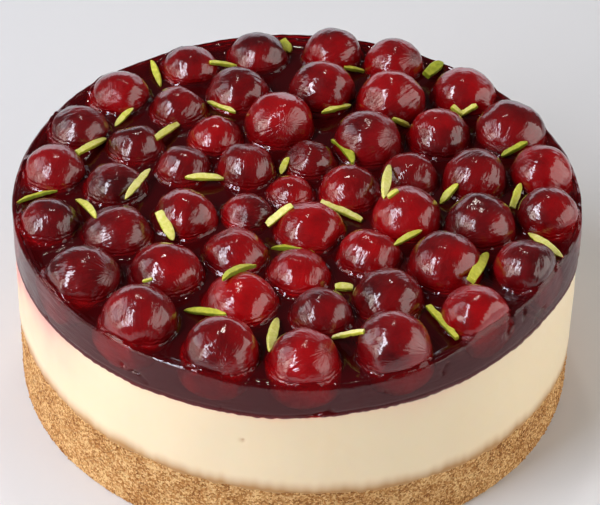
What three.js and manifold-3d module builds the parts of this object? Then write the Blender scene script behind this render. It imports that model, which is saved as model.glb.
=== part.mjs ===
// A round chilled cheesecake: a pressed biscuit base, a pale cream layer and a deep red jelly
// that holds whole cherries, set in rows and standing out of its top.
// Millimetres, +Z up. The origin is the middle of the flat underside.

import * as THREE from 'three';
import { mergeVertices } from 'three/addons/utils/BufferGeometryUtils.js';
import Module from 'manifold-3d';

const wasm = await Module();
wasm.setup();

// ---------------------------------------------------------------- driving sizes

const CAKE_RADIUS = 100; // a 20 cm ring mould
const BISCUIT_RADIUS = 99.4; // crumb that shrank from the ring a little
const JELLY_RADIUS = 99.7;

// Each layer's top: its height over the underside at the cake's middle, and how much
// higher it lies at the +X edge, because the layers were pressed and poured by hand.
const BISCUIT_TOP = { height: 24.3, rise: -4.4 };
const CREAM_TOP = { height: 58.8, rise: 1.4 };
const JELLY_TOP = { height: 73.7, rise: -0.2 };

const CLEARANCE = 0.3; // between faces that touch
const FOOT_ROUND = 1.2; // worn lower edge of the biscuit
const RIM_ROUND = 1.2; // soft upper edge of the jelly
const ROUND_STEPS = 2;
const LAYER_SEGMENTS = 60;

const JELLY_UNDER_CHERRY = 1.6; // between a cherry and the cream
const JELLY_OVER_WALL = 0.9; // between a cherry that presses the ring and the jelly's side
const CHERRY_SEGMENTS = 10;
const CHERRY_BANDS = 5;
// The ball has no band at its equator, so it is widened until its widest band is full size.
const CHERRY_WIDEN = 1 / Math.cos(Math.PI / 2 / CHERRY_BANDS);
const CHERRY_OVAL = 0.02; // share by which a cherry is longer one way than the other
const CHERRY_TURN = THREE.MathUtils.degToRad(137.5); // turn from one cherry to the next
const CHERRY_GAP = 0.9; // least jelly between two cherries
const CHERRY_PRESS = 0.92; // share of its half width that a cherry keeps when it presses the ring
const SETTLE_ROUNDS = 60;

// The rows of cherries, from the ring inwards. A row starts at a bearing, counted from +X
// towards +Y, and runs clockwise. Each cherry is [across, tall, gap to the next one].
const ROWS = [
  {
    middle: [0, 0],
    radius: 87.5,
    start: 118,
    cherries: [
      [22, 20.5, 4], [22.5, 21, 4.5], [23, 22.5, 4], [22.5, 22.5, 5], [24, 21.5, 1.5],
      [26.5, 22.5, 3.5], [23, 22.5, 1], [22.5, 22, 7], [23.5, 21.5, 7], [24, 21.5, 7],
      [25.5, 24.5, 5], [25, 21.5, 4], [26, 23.5, 5.5], [26.5, 25, 4], [27, 23, 6.5],
      [22.5, 21.5, 6.5], [23.5, 22.5, 3], [22.5, 21.5, 4], [22.5, 22, 7],
    ],
  },
  {
    middle: [-0.6, 1.6],
    radius: 64.6,
    start: 133,
    cherries: [
      [21.5, 20.5, 3], [23.5, 21.5, 5.5], [25, 24.5, 3], [25.5, 25, 1], [23.5, 21.5, 5.5],
      [23.5, 22.5, 1], [25, 22, 1], [26.5, 23, 2], [24.5, 21.5, 2.5], [22, 20.5, 2],
      [25.5, 21, 3.5], [26, 22, 2.5], [25, 21.5, 3.5], [22, 21, 3.5], [21, 20, 4],
    ],
  },
  {
    middle: [-1, 1.5],
    radius: 42.4,
    start: 130,
    cherries: [
      [20.5, 19.5, 2], [25.5, 25, 6], [25, 24.5, 2.5], [21, 20, 1], [25, 22.5, 3],
      [22.5, 20, 1.5], [22, 19.5, 1], [23, 20.5, 7], [23, 22.5, 8.5], [20.5, 20, 1],
    ],
  },
  {
    middle: [-1.7, 1.8],
    radius: 20.9,
    start: 135,
    cherries: [
      [22, 21.5, 2], [19.5, 19, 1], [22.5, 20.5, 4.5], [25, 21, 1.5], [19, 18.5, 6.5],
    ],
  },
  {
    middle: [-3, 3.5],
    radius: 0,
    start: 0,
    cherries: [[17.5, 17, 0]],
  },
];

// ---------------------------------------------------------------- materials

const paint = (color, roughness) => new THREE.MeshStandardMaterial({ color, roughness, metalness: 0 });
const BISCUIT = paint(0xb5834c, 0.9);
const CREAM = paint(0xeedbbb, 0.55);
const JELLY = paint(0x4a1218, 0.15);
const CHERRY = paint(0x8c0a12, 0.12);

// ---------------------------------------------------------------- helpers

/** Height of a leaning layer top at x. */
const levelAt = (top, x) => top.height + (top.rise * x) / CAKE_RADIUS;

/** The geometry with its shared vertices merged and its empty triangles left out. */
function weld(geometry) {
  geometry.deleteAttribute('normal');
  geometry.deleteAttribute('uv');
  const welded = mergeVertices(geometry, 1e-4);
  const index = Array.from(welded.index.array);
  const kept = [];
  for (let i = 0; i < index.length; i += 3) {
    const [a, b, c] = index.slice(i, i + 3);
    if (a !== b && b !== c && c !== a) {
      kept.push(a, b, c);
    }
  }
  welded.setIndex(kept);
  return welded;
}

/** A closed geometry as a solid that can be cut. */
function toSolid(geometry) {
  return new wasm.Manifold(new wasm.Mesh({
    numProp: 3,
    vertProperties: new Float32Array(geometry.attributes.position.array),
    triVerts: new Uint32Array(geometry.index.array),
  }));
}

/** A solid's surface as a geometry. */
function toGeometry(solid) {
  const mesh = solid.getMesh();
  const geometry = new THREE.BufferGeometry();
  geometry.setAttribute('position', new THREE.BufferAttribute(mesh.vertProperties, 3));
  geometry.setIndex(new THREE.BufferAttribute(mesh.triVerts, 1));
  return geometry;
}

/** Moves every vertex of a geometry by a function of its place. */
function reshape(geometry, move) {
  const position = geometry.attributes.position;
  const point = new THREE.Vector3();
  for (let i = 0; i < position.count; i += 1) {
    move(point.fromBufferAttribute(position, i));
    position.setXYZ(i, point.x, point.y, point.z);
  }
  return geometry;
}

/** Points of a quarter round about a centre, counter-clockwise from an angle. */
function quarter(centreX, centreY, round, fromAngle) {
  const points = [];
  for (let i = 0; i <= ROUND_STEPS; i += 1) {
    const angle = fromAngle + (Math.PI / 2) * (i / ROUND_STEPS);
    points.push(new THREE.Vector2(centreX + round * Math.cos(angle), centreY + round * Math.sin(angle)));
  }
  return points;
}

/**
 * A layer of the cake: a disc that fills the space between two leaning levels, with an
 * optional round along its lower and its upper edge.
 */
function layer(radius, under, over, footRound, rimRound) {
  const depth = over.height - under.height;
  const foot = footRound > 0
    ? quarter(radius - footRound, footRound, footRound, -Math.PI / 2)
    : [new THREE.Vector2(radius, 0)];
  const rim = rimRound > 0
    ? quarter(radius - rimRound, depth - rimRound, rimRound, 0)
    : [new THREE.Vector2(radius, depth)];
  const profile = [new THREE.Vector2(0, 0), ...foot, ...rim, new THREE.Vector2(0, depth)];
  const disc = weld(new THREE.LatheGeometry(profile, LAYER_SEGMENTS).rotateX(Math.PI / 2));
  return reshape(disc, (point) => {
    const low = levelAt(under, point.x);
    point.z = low + (point.z / depth) * (levelAt(over, point.x) - low);
  });
}

/** The same level, moved up by a clearance. */
const raised = (top) => ({ height: top.height + CLEARANCE, rise: top.rise });

// ---------------------------------------------------------------- where the cherries lie

/** Half of the angle that a cherry takes up in a row of the given radius. */
const halfAngle = (across, radius) => Math.asin(Math.min(1, across / 2 / radius));

/** Lays one row out, each cherry next to the one before it, and spreads what is left over. */
function layRow(row) {
  const { cherries, middle, radius } = row;
  if (cherries.length === 1) {
    const [across, tall] = cherries[0];
    return [{ x: middle[0], y: middle[1], across, tall }];
  }
  const taken = cherries.map(([across, , gap]) => 2 * halfAngle(across, radius) + gap / radius);
  const spare = (2 * Math.PI - taken.reduce((sum, angle) => sum + angle, 0)) / cherries.length;
  let bearing = THREE.MathUtils.degToRad(row.start);
  return cherries.map(([across, tall, gap], i) => {
    const cherry = {
      x: middle[0] + radius * Math.cos(bearing),
      y: middle[1] + radius * Math.sin(bearing),
      across,
      tall,
    };
    const next = cherries[(i + 1) % cherries.length];
    bearing -= halfAngle(across, radius) + gap / radius + halfAngle(next[0], radius) + spare;
    return cherry;
  });
}

/** How far from the cake's middle a cherry may reach. */
const REACH = JELLY_RADIUS - JELLY_OVER_WALL;

/** Pushes cherries that would overlap apart, and all of them inside the ring. */
function settle(cherries) {
  for (let round = 0; round < SETTLE_ROUNDS; round += 1) {
    cherries.forEach((one, i) => {
      cherries.slice(i + 1).forEach((other) => {
        const need = (one.across + other.across) / 2 + CHERRY_GAP;
        const apart = Math.hypot(other.x - one.x, other.y - one.y);
        if (apart < need) {
          const push = (need - apart) / 2 / apart;
          const dx = (other.x - one.x) * push;
          const dy = (other.y - one.y) * push;
          one.x -= dx;
          one.y -= dy;
          other.x += dx;
          other.y += dy;
        }
      });
      const out = Math.hypot(one.x, one.y);
      const most = REACH - (CHERRY_PRESS * one.across) / 2;
      if (out > most) {
        one.x *= most / out;
        one.y *= most / out;
      }
    });
  }
  return cherries;
}

// ---------------------------------------------------------------- the cherries

/**
 * A cherry, or with extra above 0 the hollow that it needs: a ball, a little longer one way,
 * pressed flat where it meets the ring.
 */
function cherryShape(cherry, number, extra) {
  const turn = number * CHERRY_TURN;
  const half = (cherry.across / 2 + extra) * CHERRY_WIDEN;
  const rise = cherry.tall / 2 + extra;
  const centre = levelAt(CREAM_TOP, cherry.x) + JELLY_UNDER_CHERRY + cherry.tall / 2;
  const reach = REACH + extra;
  const ball = weld(new THREE.SphereGeometry(1, CHERRY_SEGMENTS, CHERRY_BANDS).rotateX(Math.PI / 2));
  ball.scale(half * (1 + CHERRY_OVAL), half * (1 - CHERRY_OVAL), rise).rotateZ(turn);
  ball.translate(cherry.x, cherry.y, centre);
  return reshape(ball, (point) => {
    const out = Math.hypot(point.x, point.y);
    if (out > reach) {
      point.x *= reach / out;
      point.y *= reach / out;
    }
  });
}

const cherries = settle(ROWS.flatMap(layRow));

// ---------------------------------------------------------------- the cake

const cake = new THREE.Group();

/** Adds one named piece. */
function add(name, geometry, material) {
  const mesh = new THREE.Mesh(geometry, material.clone());
  mesh.name = name;
  cake.add(mesh);
}

const UNDERSIDE = { height: 0, rise: 0 };
add('biscuit_base', layer(BISCUIT_RADIUS, UNDERSIDE, BISCUIT_TOP, FOOT_ROUND, 0), BISCUIT);
add('cream_layer', layer(CAKE_RADIUS, raised(BISCUIT_TOP), CREAM_TOP, 0, 0), CREAM);

const hollows = cherries
  .map((cherry, i) => toSolid(cherryShape(cherry, i, CLEARANCE)))
  .reduce((all, hollow) => all.add(hollow));
const poured = toSolid(layer(JELLY_RADIUS, raised(CREAM_TOP), JELLY_TOP, 0, RIM_ROUND));
add('cherry_jelly', toGeometry(poured.subtract(hollows)), JELLY);

cherries.forEach((cherry, i) => {
  add(`cherry_${String(i + 1).padStart(2, '0')}`, cherryShape(cherry, i, 0), CHERRY);
});

export default cake;
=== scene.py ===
"""A cherry cake on a pale floor, in soft studio light.

The cake is a ring-mould cheesecake: a pressed biscuit base, a layer of set cream and a clear red
jelly in which fifty glossy cherries sit, with slivers of pistachio scattered on top. Each layer and
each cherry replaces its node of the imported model. Sizes are in millimetres and angles in degrees
unless a name or a docstring says otherwise; sizes are turned to metres only when a mesh is made.
"""

import enum
import logging
import math
from collections.abc import Callable
from dataclasses import dataclass, field, replace

import bmesh
import bpy
import numpy as np
from mathutils import Matrix, Vector, bvhtree, geometry


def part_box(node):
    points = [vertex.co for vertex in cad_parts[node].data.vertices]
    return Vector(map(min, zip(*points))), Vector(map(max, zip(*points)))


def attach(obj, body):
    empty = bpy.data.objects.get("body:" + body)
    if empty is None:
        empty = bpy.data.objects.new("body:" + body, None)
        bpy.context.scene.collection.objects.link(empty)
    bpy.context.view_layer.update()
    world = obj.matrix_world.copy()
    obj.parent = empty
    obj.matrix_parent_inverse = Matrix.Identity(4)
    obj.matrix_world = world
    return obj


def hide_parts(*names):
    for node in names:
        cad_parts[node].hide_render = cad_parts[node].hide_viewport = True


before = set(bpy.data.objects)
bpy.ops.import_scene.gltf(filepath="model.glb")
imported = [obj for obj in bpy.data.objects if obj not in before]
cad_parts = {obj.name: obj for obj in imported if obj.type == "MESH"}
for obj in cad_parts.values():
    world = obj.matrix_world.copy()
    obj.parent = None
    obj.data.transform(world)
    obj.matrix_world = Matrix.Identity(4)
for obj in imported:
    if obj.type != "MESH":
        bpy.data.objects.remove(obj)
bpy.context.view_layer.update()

Array = np.ndarray
Material = bpy.types.Material
Node = bpy.types.Node
Piece = bpy.types.Object
Tree = bpy.types.NodeTree

LOG = logging.getLogger("cherry_cake")
MM = 0.001
BODY = "root"
FULL_TURN = 2 * math.pi
CAKE_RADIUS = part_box("cream_layer")[1][0] / MM
SOCKETS = {
    float: "NodeSocketFloat", int: "NodeSocketInt",
    Piece: "NodeSocketObject", Material: "NodeSocketMaterial",
}


# ---------------------------------------------------------------- small tools


def linear(colour: str) -> tuple[float, float, float, float]:
    """Turns an sRGB colour, written as #rrggbb, to linear light."""
    parts = [int(colour[at:at + 2], 16) / 255 for at in (1, 3, 5)]
    return tuple(p / 12.92 if p <= 0.04045 else ((p + 0.055) / 1.055) ** 2.4 for p in parts) + (1.0,)


def add(tree: Tree, kind: str, values: dict | None = None) -> Node:
    """Adds one node to a tree.

    Args:
        tree: The tree of a material or of a geometry modifier.
        kind: The node's type.
        values: What each property is set to, and what each input, by its name or number, is set to or
            linked from: a value, a socket, or a node for its first socket.

    Returns:
        The new node.
    """
    node = tree.nodes.new(kind)
    for name, value in (values or {}).items():
        source = value.outputs[0] if isinstance(value, Node) else value
        if isinstance(source, bpy.types.NodeSocket):
            tree.links.new(source, node.inputs[name])
        elif isinstance(name, int) or name in node.inputs:
            node.inputs[name].default_value = source
        else:
            setattr(node, name, source)
    return node


def new_material(name: str) -> tuple[Material, Tree, bpy.types.NodeSocket]:
    """Starts a material.

    Args:
        name: The material's name.

    Returns:
        The material, its tree, and the socket that gives its Object coordinates.
    """
    material = bpy.data.materials.new(name)
    material.use_nodes = True
    material.node_tree.nodes.clear()
    return material, material.node_tree, add(material.node_tree, "ShaderNodeTexCoord").outputs["Object"]


def set_tones(ramp: Node, colours: tuple[str, str, str], middle: float) -> None:
    """Sets the colours of a ramp.

    Args:
        ramp: The ramp.
        colours: Its first, middle and last colour.
        middle: Where the middle one lies, from 0 to 1.
    """
    first, between, last = (linear(colour) for colour in colours)
    ramp.color_ramp.elements[0].color = first
    ramp.color_ramp.elements[1].color = last
    ramp.color_ramp.elements.new(middle).color = between


def make_piece(name: str, places: Array, faces: list, material: Material) -> Piece:
    """Makes a smooth mesh object that sits at the origin.

    Args:
        name: The piece's name.
        places: Its points in millimetres.
        faces: Its faces, as tuples of point numbers, pointing outwards.
        material: What it is dressed in.

    Returns:
        The object, linked to the scene.
    """
    mesh = bpy.data.meshes.new(name)
    mesh.from_pydata((places * MM).tolist(), [], faces)
    mesh.materials.append(material)
    mesh.polygons.foreach_set("use_smooth", [True] * len(mesh.polygons))
    mesh.update()
    piece = bpy.data.objects.new(name, mesh)
    bpy.context.scene.collection.objects.link(piece)
    return piece


def store(piece: Piece, name: str, values: Array, kind: str = "FLOAT") -> None:
    """Stores a number or a vector for each of a piece's points, for its material to read."""
    slot = "value" if kind == "FLOAT" else "vector"
    piece.data.attributes.new(name, kind, "POINT").data.foreach_set(slot, values.astype(np.float32).ravel())


def install(piece: Piece, node: str = "") -> None:
    """Makes a finished piece part of the cake.

    Args:
        piece: The piece.
        node: The node that it replaces, if there is one.
    """
    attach(piece, BODY)
    if node:
        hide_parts(node)
    LOG.info("%s: %d faces", piece.name, len(piece.data.polygons))


def run_tree(piece: Piece, name: str, values: dict, wire: Callable[[Tree, Node], Node]) -> None:
    """Builds a geometry tree, runs it on a piece and keeps the result as the piece's plain mesh.

    Args:
        piece: The object whose mesh goes in.
        name: The tree's name.
        values: The tree's inputs by name.
        wire: Adds the tree's nodes after its input node, and returns the last one.
    """
    tree = bpy.data.node_groups.new(name, "GeometryNodeTree")
    for side in ("INPUT", "OUTPUT"):
        tree.interface.new_socket("Geometry", in_out=side, socket_type="NodeSocketGeometry")
    for label, value in values.items():
        kind = next(socket for type_, socket in SOCKETS.items() if isinstance(value, type_))
        tree.interface.new_socket(label, in_out="INPUT", socket_type=kind)
    add(tree, "NodeGroupOutput", {0: wire(tree, add(tree, "NodeGroupInput"))})
    modifier = piece.modifiers.new(name, "NODES")
    modifier.node_group = tree
    for item in tree.interface.items_tree:
        if item.name in values:
            modifier[item.identifier] = values[item.name]
    view = bpy.context.evaluated_depsgraph_get()
    made = bpy.data.meshes.new_from_object(piece.evaluated_get(view), depsgraph=view)
    piece.modifiers.clear()
    before, piece.data = piece.data, made
    made.name = piece.name
    bpy.data.meshes.remove(before)


def circle(angle: Array) -> Array:
    """Directions in plan, one row for each angle in radians."""
    return np.column_stack([np.cos(angle), np.sin(angle)])


def even_turn(count: int) -> Array:
    """Evenly spaced angles in radians."""
    return np.arange(count) / count * FULL_TURN


def degrees_from(angle: Array, where: float) -> Array:
    """How far angles in radians are from a direction in degrees, from -180 to 180."""
    return (np.degrees(angle) - where + 180) % 360 - 180


def smooth(part: Array) -> Array:
    """Eases a share between 0 and 1 at both of its ends."""
    return part * part * (3 - 2 * part)


def raised(flat: Array, height: Array | float) -> Array:
    """Gives points in plan their height."""
    return np.column_stack([flat, np.broadcast_to(height, len(flat))])


def rings_to_faces(rings: int, around: int) -> list[tuple[int, int, int, int]]:
    """Joins rings of points into quads.

    Args:
        rings: How many rings there are, each above the one before it or inside it.
        around: How many points a ring has, counter-clockwise seen from above.

    Returns:
        The quads, pointing outwards.
    """
    quads = []
    for low in range(0, (rings - 1) * around, around):
        high = low + around
        quads += [(low + j, low + (j + 1) % around, high + (j + 1) % around, high + j) for j in range(around)]
    return quads


def fan(ring: int, around: int, tip: int, up: bool) -> list[tuple[int, int, int]]:
    """Joins a ring to a point in its middle.

    Args:
        ring: The number of the ring's first point.
        around: How many points the ring has.
        tip: The number of the point in the middle.
        up: Whether the triangles face up, and not down.

    Returns:
        The triangles.
    """
    pairs = [(ring + j, ring + (j + 1) % around) for j in range(around)]
    return [(a, b, tip) if up else (b, a, tip) for a, b in pairs]


def close_rings(levels: list[Array], low: float, high: float) -> tuple[Array, list]:
    """Closes a stack of rings with a point in the middle of its underside and of its top.

    Args:
        levels: The rings, from the middle of the underside out, up and in again.
        low: The height of the underside's middle.
        high: The height of the top's middle.

    Returns:
        The points and the faces.
    """
    around, total = len(levels[0]), len(levels) * len(levels[0])
    places = np.vstack([*levels, (0, 0, low), (0, 0, high)])
    faces = rings_to_faces(len(levels), around) + fan(0, around, total, False)
    return places, faces + fan(total - around, around, total + 1, True)


@dataclass(frozen=True)
class Swell:
    """Smooth unevenness of some height and size, made of waves in seeded directions."""

    height: float
    size: float
    seed: int
    waves: int = 22
    spread: tuple[float, float] = (0.7, 1.5)

    def at(self, places: Array, shift: int = 0) -> Array:
        """How high the unevenness is at each place.

        Args:
            places: Points in millimetres, one row each.
            shift: Picks another pattern.

        Returns:
            One value for each point, mostly within the height either way.
        """
        draw = np.random.default_rng(self.seed + shift)
        heading = draw.normal(size=(self.waves, places.shape[1]))
        heading /= np.linalg.norm(heading, axis=1, keepdims=True)
        pace = FULL_TURN / (2 * self.size * draw.uniform(*self.spread, self.waves))
        start = draw.uniform(0, FULL_TURN, self.waves)
        wave = np.sin(places @ (heading * pace[:, None]).T + start)
        return self.height * (wave.sum(axis=1) / math.sqrt(2 * self.waves))


@dataclass(frozen=True)
class Ridge:
    """A ridge, or a furrow where its height is below 0, with soft sides."""

    height: float
    where: float
    width: float

    def at(self, place: Array) -> Array:
        """How high it is at each place across it."""
        return self.height * np.exp(-((place - self.where) / self.width) ** 2)


@dataclass(frozen=True)
class Level:
    """A layer's flat top, which rises evenly from the cake's left side to its right side."""

    middle: float
    rise: float

    @classmethod
    def of(cls, node: str, edge: float = 3.0) -> "Level":
        """Reads a layer's top from its node.

        Args:
            node: The node's name.
            edge: How far in from the side the top is looked for.

        Returns:
            The layer's top.
        """
        places = np.array([v.co[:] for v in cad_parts[node].data.vertices]) / MM
        reach = places[:, 0].max() - edge
        right = places[places[:, 0] > reach, 2].max()
        left = places[places[:, 0] < -reach, 2].max()
        return cls((right + left) / 2, (right - left) / 2)

    def at(self, x: Array) -> Array:
        """The height at x."""
        return self.middle + self.rise * x / CAKE_RADIUS

    def ring(self, turn: Array, reach: float) -> Array:
        """A ring of points on the level, in some directions and at some reach."""
        return raised(turn * reach, self.at(turn[:, 0] * reach))


@dataclass(frozen=True)
class Outline:
    """How far a side stands out of the mould's circle, given at a few angles from the right."""

    radius: float
    knots: tuple[tuple[float, float], ...]

    def at(self, angle: Array) -> Array:
        """Reads the outline.

        Args:
            angle: Angles in radians.

        Returns:
            The radius at each angle, with soft steps between the knots.
        """
        degrees, offsets = (np.array([knot[k] for knot in self.knots + self.knots[:1]]) for k in (0, 1))
        degrees[-1] += 360
        place = (np.degrees(angle) - degrees[0]) % 360 + degrees[0]
        k = np.clip(np.searchsorted(degrees, place, side="right") - 1, 0, len(degrees) - 2)
        part = (place - degrees[k]) / (degrees[k + 1] - degrees[k])
        return self.radius + offsets[k] + (offsets[k + 1] - offsets[k]) * smooth(part)


# ---------------------------------------------------------------- finishes


@dataclass(frozen=True)
class BiscuitFinish:
    """Digestive biscuit crushed with butter and pressed in the mould: matt golden grains of many tones."""

    name: str = "pressed_biscuit_crumb"
    tones: tuple[str, str, str] = ("#85501f", "#bd8649", "#ecc488")
    grain: float = 0.66
    patch: float = 9.0
    relief: float = 0.35
    grain_share: float = 0.9
    paler: float = 0.42
    middle_tone: float = 0.45

    def make(self) -> Material:
        """Builds the material.

        Returns:
            The material.
        """
        material, tree, place = new_material(self.name)
        cells = add(tree, "ShaderNodeTexVoronoi", {"Scale": 1 / (self.grain * MM), "Vector": place})
        value = add(tree, "ShaderNodeSeparateColor", {0: cells.outputs["Color"]})
        patches = add(tree, "ShaderNodeTexNoise", {
            "Scale": 1 / (self.patch * MM), "Detail": 3.0, "Vector": place})
        blend = add(tree, "ShaderNodeMath", {
            "operation": "MULTIPLY_ADD", 0: value, 1: self.grain_share, 2: patches})
        ramp = add(tree, "ShaderNodeValToRGB", {0: add(
            tree, "ShaderNodeMath", {"operation": "SUBTRACT", 0: blend, 1: self.paler})})
        set_tones(ramp, self.tones, self.middle_tone)
        bump = add(tree, "ShaderNodeBump", {
            "Strength": 0.6, "Distance": self.relief * MM, "Height": cells.outputs["Distance"]})
        surface = add(tree, "ShaderNodeBsdfPrincipled", {
            "Base Color": ramp, "Normal": bump, "Roughness": 0.78, "Specular IOR Level": 0.3,
            "Subsurface Weight": 0.12, "Subsurface Radius": (1.0, 0.5, 0.25), "Subsurface Scale": 1.5 * MM})
        add(tree, "ShaderNodeOutputMaterial", {"Surface": surface})
        return material


@dataclass(frozen=True)
class CreamFinish:
    """Chilled cheesecake cream, set in the mould: smooth, milky and softly shining."""

    name: str = "set_cheesecake_cream"
    cream: str = "#f7e6c4"
    shade: str = "#f7e0ba"
    # also the colour of the painted shade in the little pit
    butter: str = "#bb8c55"
    bleed: str = "#e69f96"
    # dark red on the cream under the jelly: a juice stain that is also painted shade where the jelly meets
    # the cream
    juice: str = "#4a0d16"
    patch: float = 30.0
    pores: float = 1.6

    def make(self) -> Material:
        """Builds the material; the piece says how far butter and cherry juice have soaked in, and where shade
        is painted: dark in the little pit, and dark red on the cream under the jelly.

        Returns:
            The material.
        """
        material, tree, place = new_material(self.name)
        patches = add(tree, "ShaderNodeTexNoise", {
            "Scale": 1 / (self.patch * MM), "Detail": 2.0, "Vector": place})
        tone = add(tree, "ShaderNodeMix", {
            "data_type": "RGBA", 0: patches, 6: linear(self.cream), 7: linear(self.shade)})
        # the butter band with the pit's painted shade, pink juice bleeds, and the dark red juice stain with
        # painted shade under the jelly
        for mark, colour in (("butter", self.butter), ("bleed", self.bleed), ("juice", self.juice)):
            soaked = add(tree, "ShaderNodeAttribute", {"attribute_name": mark}).outputs["Fac"]
            tone = add(tree, "ShaderNodeMix", {
                "data_type": "RGBA", 0: soaked, 6: tone.outputs[2], 7: linear(colour)})
        fine = add(tree, "ShaderNodeTexNoise", {
            "Scale": 1 / (self.pores * MM), "Detail": 3.0, "Vector": place})
        bump = add(tree, "ShaderNodeBump", {"Strength": 0.12, "Distance": 0.2 * MM, "Height": fine})
        surface = add(tree, "ShaderNodeBsdfPrincipled", {
            "Base Color": tone.outputs[2], "Normal": bump, "Roughness": 0.42, "Specular IOR Level": 0.35,
            "Subsurface Weight": 0.35, "Subsurface Radius": (1.0, 0.75, 0.5), "Subsurface Scale": 3 * MM})
        add(tree, "ShaderNodeOutputMaterial", {"Surface": surface})
        return material


@dataclass(frozen=True)
class JellyFinish:
    """Cherry jelly, poured warm and chilled: clear and wet on top, satin where it set against the mould."""

    name: str = "set_cherry_jelly"
    clear: str = "#dc2430"
    depth: str = "#f4304c"
    density: float = 2300.0
    wet: float = 0.03
    satin: float = 0.26
    cloud: float = 7.0
    dimples: float = 2.2
    streaks: float = 2.4
    streak_strength: float = 0.7
    drawn_out: tuple[float, float, float] = (0.3, 0.3, 1.8)

    def make(self) -> Material:
        """Builds the material; the piece says where its surface is satin.

        Returns:
            The material.
        """
        material, tree, place = new_material(self.name)
        mould = add(tree, "ShaderNodeAttribute", {"attribute_name": "satin"}).outputs["Fac"]
        cloud = add(tree, "ShaderNodeTexNoise", {
            "Scale": 1 / (self.cloud * MM), "Detail": 4.0, "Vector": place})
        varied = add(tree, "ShaderNodeMath", {"operation": "MULTIPLY", 0: mould, 1: cloud})
        rough = add(tree, "ShaderNodeMapRange", {
            "Value": varied, "From Max": 0.6, "To Min": self.wet, "To Max": self.satin})
        fine = add(tree, "ShaderNodeTexNoise", {
            "Scale": 1 / (self.dimples * MM), "Detail": 3.0, "Vector": place})
        bump = add(tree, "ShaderNodeBump", {"Strength": 0.10, "Distance": 0.25 * MM, "Height": fine})
        level = add(tree, "ShaderNodeMapping", {"Scale": self.drawn_out, "Vector": place})
        drawn = add(tree, "ShaderNodeTexNoise", {
            "Scale": 1 / (self.streaks * MM), "Detail": 3.0, "Vector": level})
        held = add(tree, "ShaderNodeMath", {"operation": "MULTIPLY", 0: mould, 1: self.streak_strength})
        bump = add(tree, "ShaderNodeBump", {
            "Distance": 0.25 * MM, "Height": drawn, "Strength": held, "Normal": bump})
        surface = add(tree, "ShaderNodeBsdfPrincipled", {
            "Base Color": linear(self.clear), "IOR": 1.42, "Transmission Weight": 0.93, "Roughness": rough,
            "Normal": bump})
        shadow = add(tree, "ShaderNodeLightPath").outputs["Is Shadow Ray"]
        passing = add(tree, "ShaderNodeBsdfTransparent")
        mixed = add(tree, "ShaderNodeMixShader", {0: shadow, 1: surface, 2: passing})
        body = add(tree, "ShaderNodeVolumeAbsorption", {"Color": linear(self.depth), "Density": self.density})
        add(tree, "ShaderNodeOutputMaterial", {"Surface": mixed, "Volume": body})
        return material


class Ripeness(enum.Enum):
    """How a cherry looks: its colour where a glow is painted on, its colour where shade is painted on, and
    how rough its glaze is.
    """

    BRIGHT = ("#ae0309", "#700206", 0.07)
    RED = ("#980309", "#520205", 0.08)
    DARK = ("#7c0408", "#400204", 0.08)
    SATIN = ("#84060c", "#460306", 0.13)


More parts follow.
